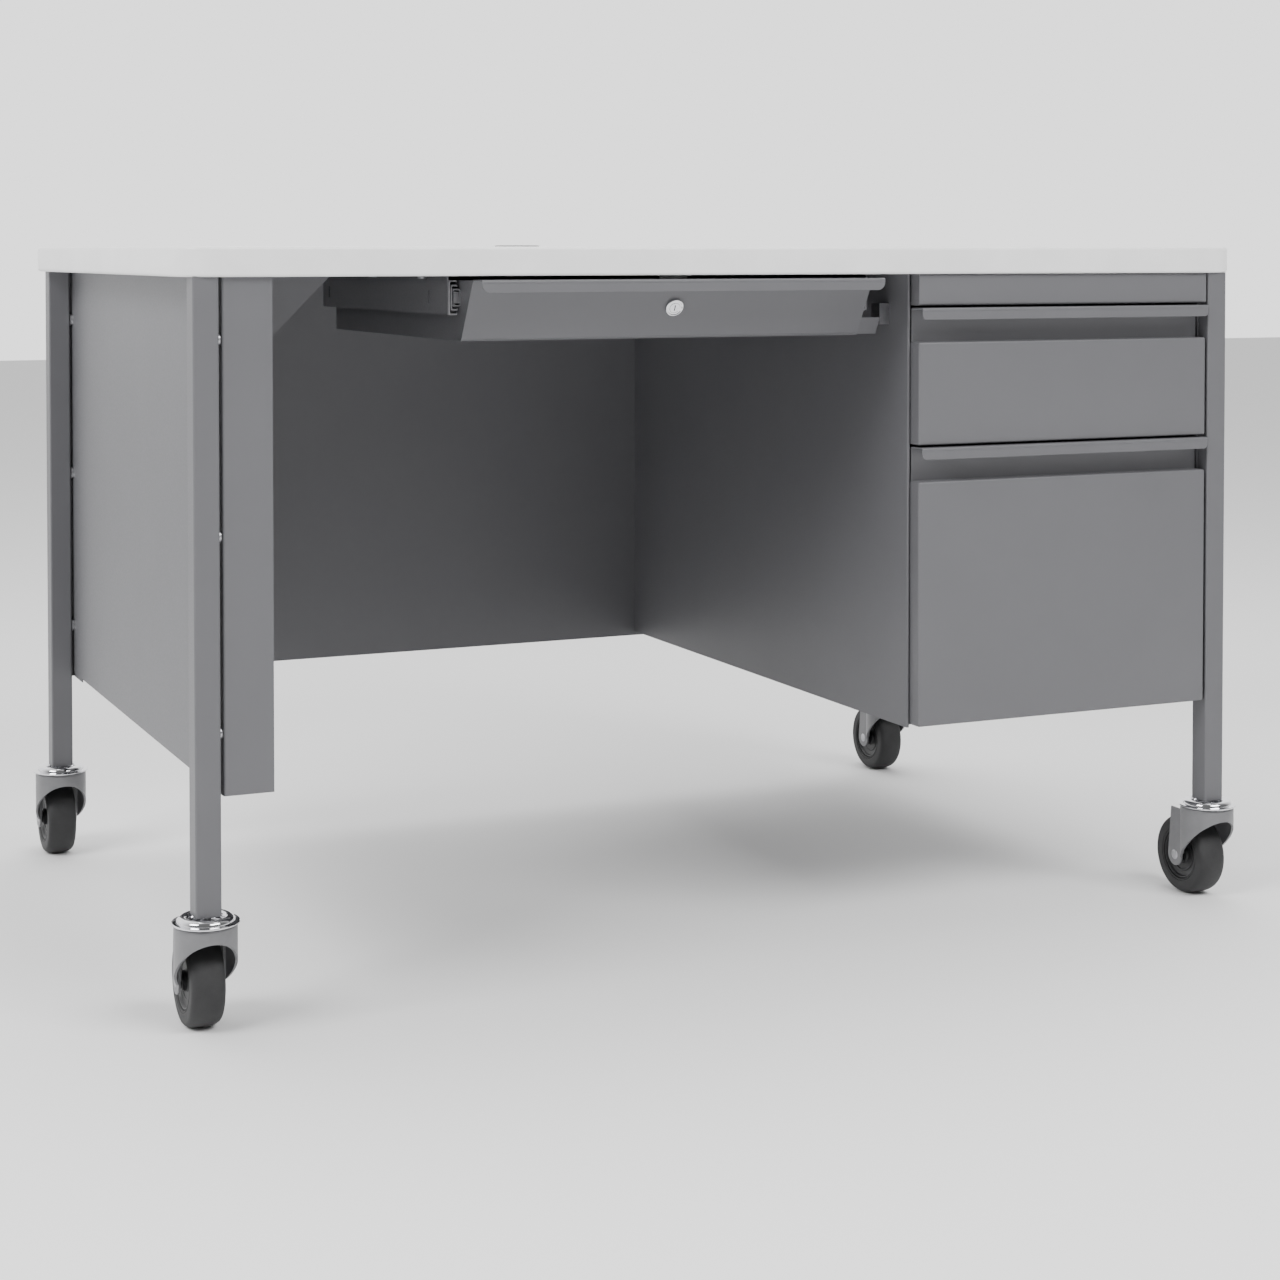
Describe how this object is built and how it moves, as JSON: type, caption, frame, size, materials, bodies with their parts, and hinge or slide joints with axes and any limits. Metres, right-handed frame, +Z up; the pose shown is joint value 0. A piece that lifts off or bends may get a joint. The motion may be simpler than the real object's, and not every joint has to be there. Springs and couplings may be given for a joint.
{
  "type": "mobile single-pedestal desk",
  "caption": "Mobile steel office desk with a white worktop, a shallow lockable centre drawer, a two-drawer pedestal on the right and swivel casters.",
  "frame": {"origin": "on the floor, at the middle of the whole desk's box, trailing casters included", "axes": "+X to the user's right when seated, -Y towards the user, +Z up"},
  "size_m": [1.234, 0.8344, 0.752],
  "materials": {
    "grey_steel": "satin powder coat",
    "laminate": "fine textured laminate",
    "edge_band": "satin extruded plastic",
    "grommet_plastic": "fine textured",
    "zinc_steel": "zinc plated",
    "chrome": "polished",
    "fork_steel": "satin",
    "wheel_rubber": "matte",
    "hub_plastic": "satin"
  },
  "bodies": {
    "frame": {"worktop": "laminate", "edge_band": "edge_band", "grommet_sleeve": "grommet_plastic", "leg_front_left": "grey_steel", "leg_front_right": "grey_steel", "leg_rear_left": "grey_steel", "leg_rear_right": "grey_steel", "left_end_panel": "grey_steel", "left_inner_panel": "grey_steel", "panel_spacers": "zinc_steel", "right_end_panel": "grey_steel", "modesty_panel": "grey_steel", "knee_gusset": "grey_steel", "pedestal_side": "grey_steel", "pedestal_back": "grey_steel", "pedestal_base": "grey_steel", "front_header": "grey_steel", "left_hanger": "grey_steel", "right_hanger": "grey_steel", "worktop_screws": "zinc_steel", "interlock_bracket": "zinc_steel", "centre_slide_outers": "zinc_steel", "box_slide_outers": "zinc_steel", "file_slide_outers": "zinc_steel", "lock_strike": "zinc_steel", "caster_stems": "zinc_steel", "bearing_cups": "chrome"},
    "grommet_cap": {"grommet_cap": "grommet_plastic"},
    "centre_drawer": {"centre_drawer_tray": "grey_steel", "centre_drawer_front": "grey_steel", "centre_slide_inners": "zinc_steel", "lock_shell": "chrome"},
    "lock": {"lock_plug": "chrome", "lock_cam": "zinc_steel"},
    "centre_slide": {"centre_slide_middles": "zinc_steel"},
    "box_drawer": {"box_drawer_tray": "grey_steel", "box_drawer_front": "grey_steel", "box_slide_inners": "zinc_steel"},
    "box_slide": {"box_slide_middles": "zinc_steel"},
    "file_drawer": {"file_drawer_tray": "grey_steel", "file_drawer_front": "grey_steel", "file_slide_inners": "zinc_steel", "file_rails": "zinc_steel"},
    "file_slide": {"file_slide_middles": "zinc_steel"},
    "swivel_front_left": {"fork_front_left": "fork_steel", "axle_front_left": "zinc_steel"},
    "wheel_front_left": {"hub_front_left": "hub_plastic", "tyre_front_left": "wheel_rubber"},
    "swivel_front_right": {"fork_front_right": "fork_steel", "axle_front_right": "zinc_steel"},
    "wheel_front_right": {"hub_front_right": "hub_plastic", "tyre_front_right": "wheel_rubber"},
    "swivel_rear_left": {"fork_rear_left": "fork_steel", "axle_rear_left": "zinc_steel"},
    "wheel_rear_left": {"hub_rear_left": "hub_plastic", "tyre_rear_left": "wheel_rubber"},
    "swivel_rear_right": {"fork_rear_right": "fork_steel", "axle_rear_right": "zinc_steel"},
    "wheel_rear_right": {"hub_rear_right": "hub_plastic", "tyre_rear_right": "wheel_rubber"}
  },
  "joints": [
    {"name": "centre_drawer_pull", "type": "slide", "parent": "frame", "child": "centre_drawer", "axis": [0, -1, 0], "range_m": [0, 0.32]},
    {"name": "centre_slide_run", "type": "slide", "parent": "frame", "child": "centre_slide", "axis": [0, -1, 0], "range_m": [0, 0.16]},
    {"name": "lock_turn", "type": "hinge", "parent": "centre_drawer", "child": "lock", "pos_m": [-0.082, -0.35973, 0.6865], "axis": [0, -0.8725, -0.4886], "range_deg": [0, 90]},
    {"name": "box_drawer_pull", "type": "slide", "parent": "frame", "child": "box_drawer", "axis": [0, -1, 0], "range_m": [0, 0.5]},
    {"name": "box_slide_run", "type": "slide", "parent": "frame", "child": "box_slide", "axis": [0, -1, 0], "range_m": [0, 0.25]},
    {"name": "file_drawer_pull", "type": "slide", "parent": "frame", "child": "file_drawer", "axis": [0, -1, 0], "range_m": [0, 0.5]},
    {"name": "file_slide_run", "type": "slide", "parent": "frame", "child": "file_slide", "axis": [0, -1, 0], "range_m": [0, 0.25]},
    {"name": "grommet_cap_lift", "type": "slide", "parent": "frame", "child": "grommet_cap", "axis": [0, 0, 1], "range_m": [0, 0.03]},
    {"name": "swivel_turn_front_left", "type": "hinge", "parent": "frame", "child": "swivel_front_left", "pos_m": [-0.5845, -0.38475, 0.105], "axis": [0, 0, 1], "continuous": true},
    {"name": "wheel_spin_front_left", "type": "hinge", "parent": "swivel_front_left", "child": "wheel_front_left", "pos_m": [-0.5845, -0.35475, 0.045], "axis": [1, 0, 0], "continuous": true},
    {"name": "swivel_turn_front_right", "type": "hinge", "parent": "frame", "child": "swivel_front_right", "pos_m": [0.5845, -0.38475, 0.105], "axis": [0, 0, 1], "continuous": true},
    {"name": "wheel_spin_front_right", "type": "hinge", "parent": "swivel_front_right", "child": "wheel_front_right", "pos_m": [0.5845, -0.35475, 0.045], "axis": [1, 0, 0], "continuous": true},
    {"name": "swivel_turn_rear_left", "type": "hinge", "parent": "frame", "child": "swivel_rear_left", "pos_m": [-0.5845, 0.34225, 0.105], "axis": [0, 0, 1], "continuous": true},
    {"name": "wheel_spin_rear_left", "type": "hinge", "parent": "swivel_rear_left", "child": "wheel_rear_left", "pos_m": [-0.5845, 0.37225, 0.045], "axis": [1, 0, 0], "continuous": true},
    {"name": "swivel_turn_rear_right", "type": "hinge", "parent": "frame", "child": "swivel_rear_right", "pos_m": [0.5845, 0.34225, 0.105], "axis": [0, 0, 1], "continuous": true},
    {"name": "wheel_spin_rear_right", "type": "hinge", "parent": "swivel_rear_right", "child": "wheel_rear_right", "pos_m": [0.5845, 0.37225, 0.045], "axis": [1, 0, 0], "continuous": true}
  ],
  "couplings": [
    {"joint": "centre_slide_run", "follows": "centre_drawer_pull", "ratio": 0.5},
    {"joint": "box_slide_run", "follows": "box_drawer_pull", "ratio": 0.5},
    {"joint": "file_slide_run", "follows": "file_drawer_pull", "ratio": 0.5}
  ]
}
